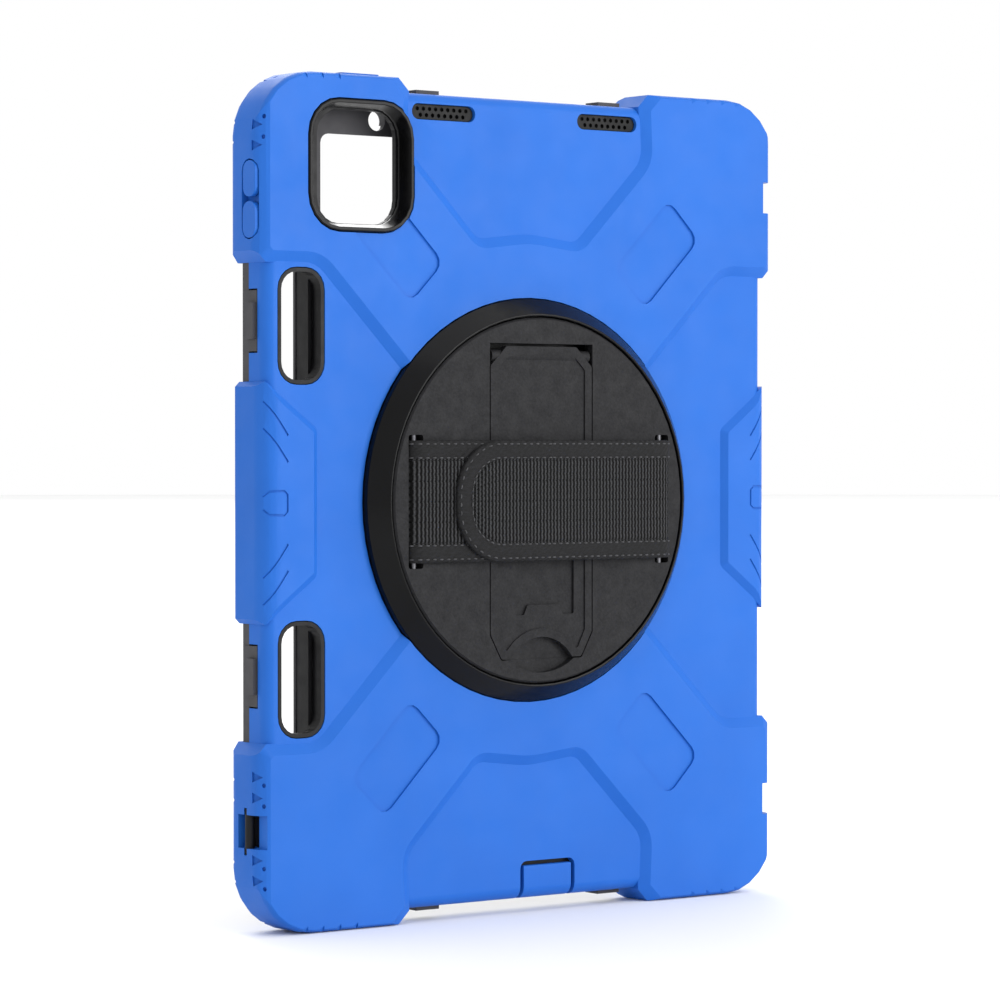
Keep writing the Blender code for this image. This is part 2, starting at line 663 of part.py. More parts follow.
def make_retainer():
    ring = lathe("retainer_ring", [(36.0, 6.8), (53.8, 6.8), (53.8, 8.0), (36.0, 8.0)], 0, 0, 64, METAL)
    for k, (x, z) in enumerate(SCREW_CENTRES):
        bore = [(0, 6.0), (3.0, 6.0), (3.0, 6.8), (1.5, 8.2), (1.5, 9.0), (0, 9.0)]
        cut(ring, lathe(f"retainer_hole_{k}", bore, x, z, 16))
        screw = [(0, 6.85), (2.6, 6.85), (1.1, 8.35), (1.1, 12.6), (0, 12.9)]
        lathe(f"retainer_screw_{k + 1}", screw, x, z, 12, METAL)
    lathe("slip_washer", [(46.6, 8.3), (53.9, 8.3), (53.9, 8.9), (46.6, 8.9)], 0, 0, 64, SLIP)


def make_leg():
    leg = prism("kickstand_leg", leg_outline(0), 16.7, PLATE_BACK, DISC)
    cut(leg, prism("leg_sunk_face", leg_outline(-2.8), 18.5, 22.0))
    window = [
        (10.3, -36.7, 0.6), (6.8, -36.7, 0.6), (5.4, -33.5, 0.6), (-7.6, -33.5, 0.6),
        (-9.0, -36.7, 0.6), (-13.5, -36.7, 0.6), (-13.5, -10.0, 1.0), (10.3, -10.0, 1.0),
    ]
    cut(leg, prism("leg_window", outline(window, 3), 17.7, 22.3))
    knuckle = rod("hinge_knuckle", (-19.9, HINGE_Y, HINGE_Z), (19.9, HINGE_Y, HINGE_Z), 1.95, 20)
    add(leg, knuckle)
    cut(leg, rod("knuckle_bore", (-22.0, HINGE_Y, HINGE_Z), (22.0, HINGE_Y, HINGE_Z), 1.15, 16))
    set_origin(leg, 0, HINGE_Y, HINGE_Z)
    rod("kickstand_pin", (-23.1, HINGE_Y, HINGE_Z), (23.1, HINGE_Y, HINGE_Z), 0.85, 16, METAL)


def strap_strip(name, path, half_width, look):
    """A band of even thickness that follows an (x, y) path."""
    left = []
    right = []
    for i, (x, y) in enumerate(path):
        ahead = Vector(path[min(i + 1, len(path) - 1)]) - Vector((x, y))
        behind = Vector((x, y)) - Vector(path[max(i - 1, 0)])
        along = (ahead.normalized() + behind.normalized()).normalized()
        side = Vector((-along.y, along.x)) * STRAP_THICK / 2
        left.append((x + side.x, y + side.y))
        right.append((x - side.x, y - side.y))
    return prism(name, left + right[::-1], -half_width, half_width, look, axis="z")


def make_strap():
    base = [
        (-48.2, 16.0), (-48.2, 18.6), (-47.9, 19.5), (-46.8, 20.15), (-44.0, 20.4), (-30.0, 20.95),
        (-15.0, 21.2), (0.0, 21.3), (15.0, 21.2), (30.0, 20.95), (44.0, 20.4), (48.6, 20.1), (50.7, 19.4),
        (51.6, 18.6), (51.85, 17.6), (51.85, 16.0),
    ]
    strap_strip("hand_strap_base", base, STRAP_HALF, WEAVE)
    tab_path = [
        (-51.85, 16.0), (-51.85, 18.2), (-51.5, 19.9), (-50.2, 21.2), (-47.5, 21.8), (-44.0, 22.0),
        (-30.0, 22.55), (-15.0, 22.85), (0.0, 22.95), (15.0, 22.85), (30.0, 22.55), (36.4, 22.3),
    ]
    tab = strap_strip("hand_strap_tab", tab_path, STRAP_HALF, WEAVE)
    corners = [(-60.0, -19.6, 0), (36.0, -19.6, 17.0), (36.0, 19.6, 17.0), (-60.0, 19.6, 0)]
    end = outline(corners, 8)
    boolean(tab, [prism("tab_end", end, 12.0, 28.0)], "INTERSECT")
    for name, side in (("right", 1), ("left", -1)):
        rod(f"strap_bar_{name}", (side * BAR_X, BAR_Y, -22.3), (side * BAR_X, BAR_Y, 22.3), 1.0, 16, METAL)


make_cover()
make_shell()
make_frame()
make_bezel()
for speaker, speaker_x in SPEAKERS.items():
    make_speaker_mesh(speaker, speaker_x)
make_flap()
make_keys()
make_lug_posts()
make_ring()
make_turntable()
make_retainer()
make_leg()
make_strap()
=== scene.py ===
"""Looks for the tablet case: moulded silicone with fine relief, grained plastics, a woven hand
strap, and the studio round them. Lengths are in millimetres in the case's own frame (x right,
y into the case from the screen glass, z up from the case centre); place() turns them to metres."""

import math

import bmesh
import bpy
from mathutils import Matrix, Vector


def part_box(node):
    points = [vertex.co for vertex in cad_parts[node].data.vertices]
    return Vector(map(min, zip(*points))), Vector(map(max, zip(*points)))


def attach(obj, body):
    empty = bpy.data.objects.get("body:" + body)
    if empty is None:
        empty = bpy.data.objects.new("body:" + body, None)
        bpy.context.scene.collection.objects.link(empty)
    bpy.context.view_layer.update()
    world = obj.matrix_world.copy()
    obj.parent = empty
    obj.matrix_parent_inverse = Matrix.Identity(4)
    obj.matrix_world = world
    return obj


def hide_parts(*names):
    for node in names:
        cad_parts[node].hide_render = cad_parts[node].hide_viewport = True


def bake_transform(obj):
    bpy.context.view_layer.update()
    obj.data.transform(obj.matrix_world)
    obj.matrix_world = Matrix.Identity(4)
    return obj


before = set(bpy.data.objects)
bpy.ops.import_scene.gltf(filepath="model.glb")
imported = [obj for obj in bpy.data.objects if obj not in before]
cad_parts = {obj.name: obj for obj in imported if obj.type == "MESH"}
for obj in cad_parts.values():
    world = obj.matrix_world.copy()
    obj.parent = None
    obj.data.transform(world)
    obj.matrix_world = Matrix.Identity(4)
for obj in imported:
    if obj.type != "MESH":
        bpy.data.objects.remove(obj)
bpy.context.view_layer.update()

# ---------------------------------------------------------------- where the case is
MM = 0.001
COVER_LOW, COVER_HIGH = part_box("silicone_cover")
PLATE_LOW, PLATE_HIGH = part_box("turntable")
BUMP_X = (COVER_HIGH.x - COVER_LOW.x) / 2 / MM
BUMP_Z = (COVER_HIGH.z - COVER_LOW.z) / 2 / MM
MIDDLE = (COVER_LOW + COVER_HIGH) / 2
BUMP_FRONT = -4.4                       # depth of the front lips
BUMP_BACK = BUMP_FRONT + (COVER_HIGH.y - COVER_LOW.y) / MM
BUMP_R = 20.0                           # corner radius of the bumps
CHAMFER = 3.4                           # slope between walls and front lips
STRAP_HALF = 19.25
PITCH = 6.4                             # spacing of the moulded marks
MARK_STEPS = 13                         # marks round one corner bump
MARK_START = -30.1                      # where the first one stands, against the start of the corner arc
MARK_SINK = 0.6                         # depth of a moulded dot
DOT_RADIUS = 0.75
PAD_X = 102.85                          # half width over the side pads
PAD_BACK = 12.75                        # depth of the pads' flat tops
PAD_ROUND = 6.3                         # radius of the back edge on pads and bumps
GROOVE = 0.7                            # width of the grooves on the pads
GROOVE_DEPTH = 0.45
EDGE_TILT = 0.6                         # direction in which the marks on the back edge are pulled
BEVEL_ANGLE = math.radians(32)
SHARP_ANGLE = math.radians(38)


def place(x, y, z):
    return Vector((x * MM, COVER_LOW.y + (y - BUMP_FRONT) * MM, MIDDLE.z + z * MM))


# ---------------------------------------------------------------- materials
class Nodes:
    """A Principled material that is built up node by node."""

    def __init__(self, name, colour, roughness, **settings):
        self.made = bpy.data.materials.new(name)
        self.made.use_nodes = True
        self.tree = self.made.node_tree
        self.shader = self.tree.nodes["Principled BSDF"]
        self.shader.inputs["Base Color"].default_value = (*colour, 1)
        self.shader.inputs["Roughness"].default_value = roughness
        for key, value in settings.items():
            self.shader.inputs[key.replace("_", " ")].default_value = value
        self.where = self.add("ShaderNodeTexCoord").outputs["Object"]
        self.normal = None

    def add(self, kind, **inputs):
        node = self.tree.nodes.new(kind)
        for key, value in inputs.items():
            self.set(node.inputs[key.replace("_", " ")], value)
        return node

    def set(self, socket, value):
        if isinstance(value, bpy.types.NodeSocket):
            self.tree.links.new(value, socket)
        else:
            socket.default_value = value

    def noise(self, scale, detail=3.0, rough=0.5, where=None):
        node = self.add("ShaderNodeTexNoise", Scale=scale, Detail=detail, Roughness=rough)
        self.set(node.inputs["Vector"], where or self.where)
        return node.outputs["Fac"]

    def stretched(self, x, y, z):
        node = self.add("ShaderNodeMapping", Vector=self.where)
        node.inputs["Scale"].default_value = (x, y, z)
        return node.outputs["Vector"]

    def ramp(self, factor, low, high, a=0.3, b=0.7):
        node = self.add("ShaderNodeMapRange", Value=factor, From_Min=a, From_Max=b, To_Min=low, To_Max=high)
        return node.outputs["Result"]

    def vary_colour(self, factor, first, second, a=0.3, b=0.7):
        mix = self.tree.nodes.new("ShaderNodeMix")
        mix.data_type = "RGBA"
        self.set(mix.inputs["Factor"], self.ramp(factor, 0.0, 1.0, a, b))
        mix.inputs["A"].default_value = (*first, 1)
        mix.inputs["B"].default_value = (*second, 1)
        self.set(self.shader.inputs["Base Color"], mix.outputs["Result"])

    def vary_roughness(self, factor, low, high):
        self.set(self.shader.inputs["Roughness"], self.ramp(factor, low, high))

    def bump(self, height, distance, strength=1.0):
        node = self.add("ShaderNodeBump", Height=height, Distance=distance, Strength=strength)
        if self.normal is not None:
            self.set(node.inputs["Normal"], self.normal)
        self.normal = node.outputs["Normal"]
        self.set(self.shader.inputs["Normal"], self.normal)


def silicone():
    """Moulded silicone: soft sheen, faint mottling and dust-fine grain."""
    m = Nodes("silicone", (0.012, 0.118, 0.50), 0.5, Specular_IOR_Level=0.22)
    m.vary_colour(m.noise(26.0, 4.0), (0.011, 0.112, 0.48), (0.014, 0.125, 0.52))
    m.vary_roughness(m.noise(90.0, 4.0), 0.46, 0.60)
    m.bump(m.noise(2600.0, 2.0), 0.00003, 0.5)
    m.bump(m.noise(60.0, 2.0), 0.0001, 0.25)
    return m.made


def grained(name, first, second, roughness, grain, depth):
    """Moulded plastic with an eroded grain."""
    m = Nodes(name, first, roughness, Specular_IOR_Level=0.2)
    m.vary_colour(m.noise(45.0, 4.0), first, second)
    m.vary_roughness(m.noise(300.0, 3.0), roughness - 0.06, roughness + 0.08)
    m.bump(m.noise(grain, 4.0, 0.6), depth, 0.8)
    return m.made


def leather_grain():
    """Matt plate and leg: small leather-like cells over a fine noise."""
    m = Nodes("matt_disc_plastic", (0.010, 0.010, 0.012), 0.6, Specular_IOR_Level=0.18)
    m.vary_colour(m.noise(1100.0, 3.0, 0.7), (0.008, 0.008, 0.009), (0.017, 0.017, 0.019))
    m.vary_roughness(m.noise(220.0, 3.0), 0.55, 0.72)
    cells = m.add("ShaderNodeTexVoronoi", Vector=m.where, Scale=1500.0)
    cells.feature = "SMOOTH_F1"
    m.bump(cells.outputs["Distance"], 0.00012, 0.55)
    m.bump(m.noise(2400.0, 3.0), 0.00005, 0.6)
    return m.made


def gloss():
    """Polished black plastic with faint rubbing marks."""
    m = Nodes("gloss_black_plastic", (0.002, 0.002, 0.002), 0.16, Specular_IOR_Level=0.14)
    m.vary_colour(m.noise(30.0, 3.0), (0.002, 0.002, 0.002), (0.004, 0.004, 0.005))
    m.vary_roughness(m.noise(500.0, 5.0, 0.7), 0.12, 0.26)
    m.bump(m.noise(800.0, 3.0), 0.00001, 0.3)
    return m.made


def brushed_steel():
    m = Nodes("steel", (0.10, 0.10, 0.11), 0.35, Metallic=1.0)
    m.vary_colour(m.noise(200.0), (0.08, 0.08, 0.09), (0.13, 0.13, 0.14))
    m.vary_roughness(m.noise(1500.0, 4.0, 0.6, m.stretched(1, 1, 14)), 0.24, 0.42)
    return m.made


def acetal():
    m = Nodes("acetal", (0.012, 0.012, 0.012), 0.45)
    m.vary_colour(m.noise(120.0), (0.010, 0.010, 0.010), (0.016, 0.016, 0.016))
    m.bump(m.noise(1200.0, 3.0), 0.00002, 0.4)
    return m.made


def webbing():
    """Black elastic: crossing yarns, with a painted highlight on their raised crowns over random fibre tone.
    """
    m = Nodes("elastic_webbing", (0.01, 0.01, 0.011), 0.85, Specular_IOR_Level=0.15)
    rows = m.add("ShaderNodeTexWave", Vector=m.where, Scale=230.0, Distortion=0.6, Detail=2.0)
    rows.bands_direction = "X"
    fluff = m.noise(2600.0, 4.0, 0.7)
    both = m.tree.nodes.new("ShaderNodeMath")
    both.operation = "MULTIPLY"
    m.set(both.inputs[0], rows.outputs["Fac"])
    m.set(both.inputs[1], fluff)
    # painted highlight: colour is lighter on the raised crowns of the yarn rows, speckled by random fibre
    # tone
    m.vary_colour(both.outputs["Value"], (0.001, 0.001, 0.001), (0.060, 0.061, 0.064), 0.12, 0.62)
    m.bump(rows.outputs["Fac"], 0.0003, 0.9)
    m.bump(fluff, 0.00015, 0.7)
    return m.made


def binding():
    """Tape round the strap: tight diagonal braid."""
    m = Nodes("binding_tape", (0.008, 0.008, 0.009), 0.7, Specular_IOR_Level=0.2)
    first = m.add("ShaderNodeTexWave", Vector=m.where, Scale=300.0, Distortion=1.2, Detail=2.0)
    first.bands_direction = "DIAGONAL"
    fibre = m.noise(1500.0, 4.0, 0.65, m.stretched(0.35, 1, 1.6))
    m.vary_colour(fibre, (0.002, 0.002, 0.002), (0.020, 0.020, 0.022), 0.35, 0.75)
    m.vary_roughness(fibre, 0.6, 0.85)
    m.bump(first.outputs["Fac"], 0.00018, 0.8)
    m.bump(fibre, 0.00012, 0.7)
    return m.made


def thread():
    m = Nodes("sewing_thread", (0.03, 0.03, 0.033), 0.6)
    m.vary_colour(m.noise(900.0), (0.02, 0.02, 0.022), (0.055, 0.055, 0.060))
    m.bump(m.noise(4000.0, 2.0, 0.6, m.stretched(1, 1, 3)), 0.00004, 0.6)
    return m.made


SILICONE = silicone()
SHELL = grained("shell_plastic", (0.004, 0.004, 0.005), (0.008, 0.008, 0.009), 0.42, 2200.0, 0.00005)
FRAME = grained("frame_plastic", (0.048, 0.047, 0.052), (0.058, 0.057, 0.062), 0.5, 2600.0, 0.00006)
MESH = grained("speaker_mesh_plastic", (0.003, 0.003, 0.003), (0.006, 0.006, 0.006), 0.5, 3000.0, 0.00003)
DISC = leather_grain()
GLOSS = gloss()
STEEL = brushed_steel()
ACETAL = acetal()
WEBBING = webbing()
BINDING = binding()
THREAD = thread()

LOOKS = {
    "back_shell": SHELL, "speaker_mesh": MESH, "lug_post": SHELL, "slip_washer": ACETAL, "retainer": STEEL,
    "kickstand_pin": STEEL, "strap_bar": STEEL,
}


def dress_cad_nodes():
    for name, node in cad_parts.items():
        look = next((m for start, m in LOOKS.items() if name.startswith(start)), None)
        if look:
            node.data.materials.clear()
            node.data.materials.append(look)


# ---------------------------------------------------------------- silicone cover with its moulded marks
def wall_point(s):
    """Point and outward direction at distance s from the side wall's end round a corner."""
    cx = BUMP_X - BUMP_R
    cz = BUMP_Z - BUMP_R
    arc = math.pi / 2 * BUMP_R
    if s < 0:
        return (BUMP_X, cz + s), (1.0, 0.0)
    if s < arc:
        turn = s / BUMP_R
        return (cx + BUMP_R * math.cos(turn), cz + BUMP_R * math.sin(turn)), (math.cos(turn), math.sin(turn))
    return (cx - (s - arc), BUMP_Z), (0.0, 1.0)


def add_prism(bm, ring, depth):
    """Closed prism: a ring of points pushed along a vector."""
    low = [bm.verts.new(p) for p in ring]
    high = [bm.verts.new(p + depth) for p in ring]
    count = len(ring)
    bm.faces.new(low)
    bm.faces.new(high[::-1])
    for i in range(count):
        j = (i + 1) % count
        bm.faces.new((low[j], low[i], high[i], high[j]))


def wall_frame(s, sx, sz):
    (x, z), (nx, nz) = wall_point(s)
    out = Vector((sx * nx, 0, sz * nz))
    along = Vector((-sx * nz, 0, sz * nx))
    return Vector((sx * x, 0, sz * z)), out, along


def mark_ring(foot, out, along, shape, sink):
    """Ring of a mark whose corners are (distance along, depth), each sunk under the wall or its slope."""
    ring = []
    for a, y in shape:
        slope = max(0.0, BUMP_FRONT + CHAMFER - y)
        point = foot + along * a - out * (slope + sink)
        ring.append(place(point.x, y, point.z))
    return ring


def is_busy(foot, on_side, sx, sz):
    """True where a key, its recess or a lug opening takes up the wall of this corner bump."""
    if not on_side:
        return abs(foot.x) < 54.0 or (sx > 0 and sz > 0 and abs(foot.x) < 74.0)
    low, high = 93.0, 109.0
    if sx > 0:
        low, high = (77.0, 108.5) if sz > 0 else (93.5, 108.0)
    return low < abs(foot.z) < high


def corner_marks(bm, sx, sz):
    """Triangles, dots and notches round one corner bump."""
    for k in range(MARK_STEPS):
        s = MARK_START + PITCH * k
        foot, out, along = wall_frame(s, sx, sz)
        on_side = abs(out.x) > 0.5
        if is_busy(foot, on_side, sx, sz):
            continue
        if abs(out.x) > 0.95:
            edge_marks(bm, foot, out, along)
        if not on_side:
            triangle = [(-1.7, -3.3), (0.0, 2.2), (1.7, -3.3)]
            add_prism(bm, mark_ring(foot, out, along, triangle, MARK_SINK + 0.1), out * 6 * MM)
        middle, out_here, along_here = wall_frame(s + 0.4 * PITCH, sx, sz)
        for depth in (-2.9,) if on_side else (3.1, -2.9):
            ring = mark_ring(middle, out_here, along_here, ring_of_dot(0.0, depth), MARK_SINK)
            add_prism(bm, ring, out_here * 5 * MM)
        if abs(out.x) < 0.3:
            back_notch(bm, foot, out, along)


def ring_of_dot(a, b):
    """Eight points round a moulded dot."""
    turns = [math.pi / 4 * i for i in range(8)]
    return [(a + DOT_RADIUS * math.cos(t), b + DOT_RADIUS * math.sin(t)) for t in turns]


def edge_marks(bm, foot, out, along):
    """Triangle and dot on the rounded back edge of a side wall."""
    outward = out * math.cos(EDGE_TILT) + Vector((0, math.sin(EDGE_TILT), 0))
    for shape in ([(-0.65, 1.3), (1.0, 5.5), (2.65, 1.3)], ring_of_dot(3.5, 5.8)):
        ring = []
        for a, t in shape:
            turn = t / PAD_ROUND
            inward = PAD_ROUND * (1 - math.cos(turn)) + MARK_SINK * math.cos(turn)
            point = foot + along * a - out * inward
            depth = BUMP_BACK - PAD_ROUND + (PAD_ROUND - MARK_SINK) * math.sin(turn)
            ring.append(place(point.x, depth, point.z))
        add_prism(bm, ring, outward * 5 * MM)


def back_notch(bm, foot, out, along):
    """Small sloping notch where the top or bottom wall turns to the back."""
    ring = []
    for a, rise, back in ((-1.5, -1.0, 0.3), (1.2, -2.6, 0.3), (1.6, 0.6, -1.8)):
        point = foot + along * a + out * rise
        ring.append(place(point.x, BUMP_BACK + back, point.z))
    add_prism(bm, ring, (out + Vector((0, 1, 0))) * 3 * MM)


def pad_top(x):
    """Depth of a side pad's surface at distance x from the middle of the case."""
    past = max(0.0, x - (PAD_X - PAD_ROUND))
    return PAD_BACK - PAD_ROUND + math.sqrt(max(0.0, PAD_ROUND ** 2 - past ** 2))


def groove(bm, side, points):
    """Narrow cutter that follows a line of (x, z) points over a pad's top and rounded edge."""
    rows = []
    for i, (x, z) in enumerate(points):
        ahead = Vector(points[min(i + 1, len(points) - 1)])
        behind = Vector(points[max(i - 1, 0)])
        along = (ahead - behind).normalized()
        across = Vector((-along.y, along.x)) * GROOVE / 2
        low = pad_top(x) - GROOVE_DEPTH
        row = []
        for turn, rise in ((1, 0), (-1, 0), (-1, 1), (1, 1)):
            corner = Vector((x, z)) + across * turn
            row.append(bm.verts.new(place(side * (corner.x + 2 * rise), low + 4 * rise, corner.y)))
        rows.append(row)
    for near, far in zip(rows, rows[1:]):
        for i in range(4):
            j = (i + 1) % 4
            bm.faces.new((near[i], near[j], far[j], far[i]))
    bm.faces.new(rows[0][::-1])
    bm.faces.new(rows[-1])


def pad_grooves(bm, side):
    """Diagonal grooves on a side pad, above and below a small open outline at its middle."""
    steps = 5
    for inner, outer in ((20.8, 31.2), (12.6, 22.9)):
        for sz in (-1, 1):
            shares = [k / steps for k in range(steps + 1)]
            groove(bm, side, [(94.0 + 7.6 * t, sz * (inner + (outer - inner) * t)) for t in shares])
    outline = [(101.6, 2.1), (100.2, 3.6), (97.8, 3.7), (95.4, 3.7), (94.2, 2.6), (94.2, -2.6)]
    outline += [(95.4, -3.7), (97.8, -3.7), (100.2, -3.6), (101.6, -2.1)]
    groove(bm, side, outline)


def relief_cutter():
    bm = bmesh.new()
    for sx in (-1, 1):
        for sz in (-1, 1):
            corner_marks(bm, sx, sz)
        pad_grooves(bm, sx)
    bmesh.ops.recalc_face_normals(bm, faces=bm.faces)
    return new_object("relief_cutter", bm)


def new_object(name, bm, look=None):
    mesh = bpy.data.meshes.new(name)
    bm.to_mesh(mesh)
    bm.free()
    obj = bpy.data.objects.new(name, mesh)
    bpy.context.scene.collection.objects.link(obj)
    if look:
        mesh.materials.append(look)
    return obj


def clean_copy(node, name):
    """The node's solid as a new object with its flat areas whole again."""
    bm = bmesh.new()
    bm.from_mesh(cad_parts[node].data)
    bmesh.ops.remove_doubles(bm, verts=bm.verts, dist=2e-6)
    bmesh.ops.dissolve_limit(bm, angle_limit=math.radians(0.4), verts=bm.verts, edges=bm.edges)
    bmesh.ops.recalc_face_normals(bm, faces=bm.faces)
    return new_object(name, bm)


def applied(obj):
    """Puts the evaluated mesh in the modifiers' place."""
    graph = bpy.context.evaluated_depsgraph_get()
    mesh = bpy.data.meshes.new_from_object(obj.evaluated_get(graph))
    obj.modifiers.clear()
    obj.data = mesh
    return obj


def soften(obj, width, segments, look):
    """Rounds the sharp edges and shades the rest smooth."""
    bevel = obj.modifiers.new("soft_edges", "BEVEL")
    bevel.width = width * MM
    bevel.segments = segments
    bevel.limit_method = "ANGLE"
    bevel.angle_limit = BEVEL_ANGLE
    bevel.use_clamp_overlap = True
    bevel.harden_normals = False
    applied(obj)
    obj.data.materials.clear()
    obj.data.materials.append(look)
    obj.data.shade_smooth()
    obj.data.set_sharp_from_angle(angle=SHARP_ANGLE)
    weighted = obj.modifiers.new("even_shading", "WEIGHTED_NORMAL")
    weighted.keep_sharp = True
    weighted.weight = 80
    return applied(obj)


def make_cover():
    cover = clean_copy("silicone_cover", "silicone_cover_moulding")
    cutter = relief_cutter()
    change = cover.modifiers.new("relief", "BOOLEAN")
    change.operation = "DIFFERENCE"
    change.solver = "EXACT"
    change.object = cutter
    applied(cover)
    bpy.data.objects.remove(cutter)
    soften(cover, 0.28, 2, SILICONE)
    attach(cover, "case")
    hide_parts("silicone_cover")


# ---------------------------------------------------------------- other parts with softened edges
def polish(node, body, look, width):
    """The same part with rounded edges and even shading in the node's place."""
    part = clean_copy(node, f"{node}_part")
    soften(part, width, 2, look)
    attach(part, body)
    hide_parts(node)


def make_parts():
    polish("stand_ring", "case", GLOSS, 0.3)
    polish("camera_bezel", "case", GLOSS, 0.2)
    polish("turntable", "turning_stand", DISC, 0.2)
    polish("kickstand_leg", "kickstand", DISC, 0.25)
    polish("front_frame", "case", FRAME, 0.2)
    polish("port_flap", "flap", SILICONE, 0.2)
    polish("power_button", "power_key", SILICONE, 0.25)
    polish("volume_up_button", "volume_up_key", SILICONE, 0.25)
    polish("volume_down_button", "volume_down_key", SILICONE, 0.25)


# ---------------------------------------------------------------- hand strap
class Ribbon:
    """Centre line of a strap layer, (x, y) against its length, with the direction square to it."""

    def __init__(self, path):
        fine = []
        for i in range(len(path) - 1):
            p = [Vector(path[max(0, min(len(path) - 1, j))]) for j in (i - 1, i, i + 1, i + 2)]
            for k in range(8):
                t = k / 8
                fine.append(0.5 * (
                    2 * p[1] + (p[2] - p[0]) * t + (2 * p[0] - 5 * p[1] + 4 * p[2] - p[3]) * t ** 2
                    + (3 * p[1] - p[0] - 3 * p[2] + p[3]) * t ** 3
                ))
        fine.append(Vector(path[-1]))
        self.points = fine
        self.reach = [0.0]
        for a, b in zip(fine, fine[1:]):
            self.reach.append(self.reach[-1] + (b - a).length)
        self.length = self.reach[-1]

    def at(self, u, z, height):
        """Point at length u, width z and height above the centre line."""
        u = max(0.0, min(self.length, u))
        i = next((k for k in range(1, len(self.reach)) if self.reach[k] >= u), len(self.reach) - 1)
        a, b = self.points[i - 1], self.points[i]
        share = (u - self.reach[i - 1]) / max(1e-9, self.reach[i] - self.reach[i - 1])
        here = a.lerp(b, share)
        along = (b - a).normalized()
        return place(here.x - along.y * height, here.y + along.x * height, z)

    def length_at(self, x):
        """Length where the upper run passes x."""
        for i in range(1, len(self.points)):
            if self.points[i - 1].x <= x <= self.points[i].x and self.points[i].y > 20.0:
                share = (x - self.points[i - 1].x) / max(1e-9, self.points[i].x - self.points[i - 1].x)
                return self.reach[i - 1] + share * (self.reach[i] - self.reach[i - 1])
        return self.length


BASE_PATH = [
    (-48.2, 16.0), (-48.2, 18.6), (-47.9, 19.5), (-46.8, 20.15), (-44.0, 20.4), (-30.0, 20.95),
    (-15.0, 21.2), (0.0, 21.3), (15.0, 21.2), (30.0, 20.95), (44.0, 20.4), (48.6, 20.1),
    (50.7, 19.4), (51.6, 18.6), (51.85, 17.6), (51.85, 16.0),
]
TAB_PATH = [
    (-51.85, 16.0), (-51.85, 18.2), (-51.5, 19.9), (-50.2, 21.2), (-47.5, 21.8), (-44.0, 22.0),
    (-30.0, 22.55), (-15.0, 22.85), (0.0, 22.95), (15.0, 22.85), (30.0, 22.55), (36.4, 22.3),
]
TAB_END_RADIUS = 17.0
BORDER = 6.6
RIB = 2.15
# distance along a stitch, its radius and its height over the layer's middle
STITCH = [(-0.85, 0.05, 0.55), (-0.5, 0.22, 0.86), (0.0, 0.28, 0.95), (0.5, 0.22, 0.86), (0.85, 0.05, 0.55)]
STITCH_PITCH = 2.6


def tube_sheet(name, rows, look):
    """Closed skin from rows of points that each go round a section; the two end rows are capped."""
    bm = bmesh.new()
    made = [[bm.verts.new(p) for p in row] for row in rows]
    count = len(made[0])
    for low, high in zip(made, made[1:]):
        for i in range(count):
            j = (i + 1) % count
            bm.faces.new((low[i], low[j], high[j], high[i]))
    bm.faces.new(made[0][::-1])
    bm.faces.new(made[-1])
    bmesh.ops.recalc_face_normals(bm, faces=bm.faces)
    obj = new_object(name, bm, look)
    obj.data.shade_smooth()
    obj.data.set_sharp_from_angle(angle=math.radians(60))
    return obj


def core_half(u, ribbon, half, rounded):
    """Half width of the webbing at length u; it narrows at a rounded end."""
    left = ribbon.length - BORDER * 0.7 - u
    radius = TAB_END_RADIUS - BORDER * 0.5
    if not rounded or left > radius:
        return half
    return half - radius + math.sqrt(max(0.0, radius ** 2 - (radius - max(0.0, left)) ** 2))


def make_webbing(name, ribbon, u0, u1, rounded):
    """Ribbed webbing between two lengths."""
    half = STRAP_HALF - BORDER + 0.8
    steps = max(2, round((u1 - u0) / 1.1))
    across = 96
    rows = []
    for i in range(steps + 1):
        u = u0 + (u1 - u0) * i / steps
        wide = core_half(u, ribbon, half, rounded)
        row = []
        for k in range(across + 1):
            z = -wide + 2 * wide * k / across
            full = -half + 2 * half * k / across
            crown = abs(math.sin(math.pi * full / RIB)) ** 0.6
            yarn = 0.07 * math.sin(2 * math.pi * u / 2.2 + (math.pi if int(full // RIB) % 2 else 0))
            row.append(ribbon.at(u, z, 0.34 + 0.34 * crown + yarn * crown))
        row += [ribbon.at(u, wide, -0.5), ribbon.at(u, -wide, -0.5)]
        rows.append(row)
    return tube_sheet(name, rows, WEBBING)


def border_line(ribbon, u0, u1, side, rounded):
    """Middle line of the binding as (length, z) points, round the end of the tab if it has one."""
    middle = STRAP_HALF - BORDER / 2
    if not rounded:
        steps = max(2, round((u1 - u0) / 1.2))
        return [(u0 + (u1 - u0) * k / steps, side * middle) for k in range(steps + 1)]
    end = ribbon.length - BORDER / 2
    radius = TAB_END_RADIUS - BORDER / 2
    turn_u = end - radius
    line = []
    steps = max(2, round((turn_u - u0) / 1.2))
    line += [(u0 + (turn_u - u0) * k / steps, middle) for k in range(steps + 1)]
    for k in range(1, 15):
        t = math.pi / 2 * k / 14
        line.append((turn_u + radius * math.sin(t), middle - radius + radius * math.cos(t)))
    low = -(middle - radius)
    line += [(end, middle - radius + (low - middle + radius) * k / 3) for k in range(1, 3)]
    for k in range(0, 15):
        t = math.pi / 2 * k / 14
        line.append((turn_u + radius * math.cos(t), low - radius * math.sin(t)))
    line += [(turn_u + (u0 - turn_u) * k / steps, -middle) for k in range(1, steps + 1)]
    return line


def follow(line):
    """Each point of a (length, z) line with the direction square to it."""
    found = []
    for i, point in enumerate(line):
        ahead = Vector(line[min(i + 1, len(line) - 1)])
        behind = Vector(line[max(i - 1, 0)])
        along = (ahead - behind).normalized()
        found.append((Vector(point), Vector((-along.y, along.x)), along))
    return found


